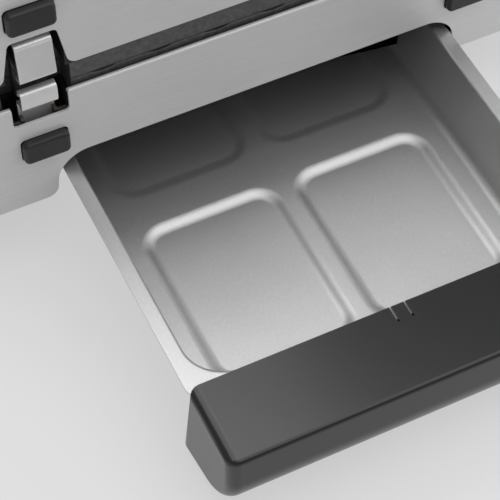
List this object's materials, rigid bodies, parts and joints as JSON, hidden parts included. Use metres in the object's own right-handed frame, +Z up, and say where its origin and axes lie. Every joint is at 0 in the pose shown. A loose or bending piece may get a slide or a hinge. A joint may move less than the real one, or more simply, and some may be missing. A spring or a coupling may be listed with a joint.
{
  "type": "indoor electric contact grill",
  "caption": "Closed contact grill in brushed steel: floating hinged lid, ribbed plates held by push-button clips, and a deep drip tray that slides out of the front on a full-width grip.",
  "frame": {"origin": "centre of the overall box on the surface it stands on, lid closed and tray drawn out as in the picture", "axes": "+X to the user's right, +Y to the back, +Z up"},
  "size_m": [0.3603, 0.4772, 0.229],
  "materials": {
    "brushed_housing": "brushed stainless sheet, fine horizontal grain",
    "tray_steel": "satin deep-drawn stainless sheet",
    "plate_coating": "dark non-stick coating on cast aluminium",
    "chrome_clip": "polished chromed spring steel",
    "bright_steel": "plain zinc-plated steel",
    "gloss_black": "glossy black moulded plastic",
    "black_plastic": "fine-grained black moulded plastic",
    "button_plastic": "satin black moulded plastic",
    "reflector_aluminium": "bright rolled aluminium sheet",
    "element_sheath": "oxidised tubular sheath",
    "foot_rubber": "soft matt rubber",
    "white_ceramic": "pale ceramic or heat-proof moulding",
    "red_lens": "clear red lens",
    "green_lens": "clear green lens"
  },
  "bodies": {
    "base": {"base_shell": "brushed_housing", "chassis": "black_plastic", "deck_frame": "black_plastic", "rubber_feet": "foot_rubber", "chassis_screws": "bright_steel", "lower_plate": "plate_coating", "lower_reflector": "reflector_aluminium", "lower_element": "element_sheath", "lower_cradles": "bright_steel", "thermal_fuse": "white_ceramic", "drawer_rail_left": "bright_steel", "drawer_rail_right": "bright_steel", "lower_latch_left": "black_plastic", "lower_latch_right": "black_plastic", "lower_spring_left": "bright_steel", "lower_spring_right": "bright_steel", "hinge_bracket_left": "bright_steel", "hinge_bracket_right": "bright_steel", "thermostat": "white_ceramic", "power_lamp": "red_lens", "ready_lamp": "green_lens", "power_inlet": "black_plastic", "inlet_pins": "bright_steel", "terminal_block": "white_ceramic"},
    "drawer": {"drip_tray": "tray_steel", "tray_handle": "gloss_black"},
    "hinge_carriage": {"hinge_pin_left": "bright_steel", "hinge_pin_right": "bright_steel"},
    "lid": {"lid_shell": "brushed_housing", "lid_frame": "black_plastic", "upper_plate": "plate_coating", "upper_reflector": "reflector_aluminium", "upper_element": "element_sheath", "upper_cradles": "bright_steel", "upper_latch_left": "black_plastic", "upper_latch_right": "black_plastic", "upper_spring_left": "bright_steel", "upper_spring_right": "bright_steel", "hinge_arm_left": "black_plastic", "hinge_arm_right": "black_plastic", "handle_arm_left": "gloss_black", "handle_arm_right": "gloss_black", "handle_grip": "gloss_black", "handle_screws": "bright_steel"},
    "knob": {"thermostat_knob": "button_plastic", "thermostat_spindle": "bright_steel"},
    "lower_button_left_body": {"lower_button_left": "button_plastic"},
    "lower_clip_left_body": {"lower_clip_left": "chrome_clip"},
    "lower_button_right_body": {"lower_button_right": "button_plastic"},
    "lower_clip_right_body": {"lower_clip_right": "chrome_clip"},
    "upper_button_left_body": {"upper_button_left": "button_plastic"},
    "upper_clip_left_body": {"upper_clip_left": "chrome_clip"},
    "upper_button_right_body": {"upper_button_right": "button_plastic"},
    "upper_clip_right_body": {"upper_clip_right": "chrome_clip"}
  },
  "joints": [
    {"name": "drawer_slide", "type": "slide", "parent": "base", "child": "drawer", "axis": [0, -1, 0], "range_m": [-0.131, 0.06]},
    {"name": "hinge_float", "type": "slide", "parent": "base", "child": "hinge_carriage", "axis": [0, 0, 1], "range_m": [0, 0.015]},
    {"name": "lid_hinge", "type": "hinge", "parent": "hinge_carriage", "child": "lid", "pos_m": [0, 0.224, 0.122], "axis": [-1, 0, 0], "range_deg": [0, 100]},
    {"name": "thermostat_turn", "type": "hinge", "parent": "base", "child": "knob", "pos_m": [0.17, 0.022, 0.056], "axis": [1, 0, 0], "range_deg": [0, 270]},
    {"name": "lower_left_press", "type": "slide", "parent": "base", "child": "lower_button_left_body", "axis": [0, 1, 0], "range_m": [0, 0.0025], "stiffness_N_per_m": 300},
    {"name": "lower_left_clip_rock", "type": "hinge", "parent": "base", "child": "lower_clip_left_body", "pos_m": [-0.1075, -0.0592, 0.09], "axis": [1, 0, 0], "range_deg": [0, 10.8], "deforming": ["lower_spring_left"]},
    {"name": "lower_right_press", "type": "slide", "parent": "base", "child": "lower_button_right_body", "axis": [0, 1, 0], "range_m": [0, 0.0025], "stiffness_N_per_m": 300},
    {"name": "lower_right_clip_rock", "type": "hinge", "parent": "base", "child": "lower_clip_right_body", "pos_m": [0.1075, -0.0592, 0.09], "axis": [1, 0, 0], "range_deg": [0, 10.8], "deforming": ["lower_spring_right"]},
    {"name": "upper_left_press", "type": "slide", "parent": "lid", "child": "upper_button_left_body", "axis": [0, 1, 0], "range_m": [0, 0.0025], "stiffness_N_per_m": 300},
    {"name": "upper_left_clip_rock", "type": "hinge", "parent": "lid", "child": "upper_clip_left_body", "pos_m": [-0.1075, -0.0592, 0.146], "axis": [-1, 0, 0], "range_deg": [0, 11.9], "deforming": ["upper_spring_left"]},
    {"name": "upper_right_press", "type": "slide", "parent": "lid", "child": "upper_button_right_body", "axis": [0, 1, 0], "range_m": [0, 0.0025], "stiffness_N_per_m": 300},
    {"name": "upper_right_clip_rock", "type": "hinge", "parent": "lid", "child": "upper_clip_right_body", "pos_m": [0.1075, -0.0592, 0.146], "axis": [-1, 0, 0], "range_deg": [0, 11.9], "deforming": ["upper_spring_right"]}
  ],
  "couplings": [
    {"joint": "lower_left_clip_rock", "follows": "lower_left_press", "rad_per_m": 73.26},
    {"joint": "lower_right_clip_rock", "follows": "lower_right_press", "rad_per_m": 73.26},
    {"joint": "upper_left_clip_rock", "follows": "upper_left_press", "rad_per_m": 80.972},
    {"joint": "upper_right_clip_rock", "follows": "upper_right_press", "rad_per_m": 80.972}
  ]
}
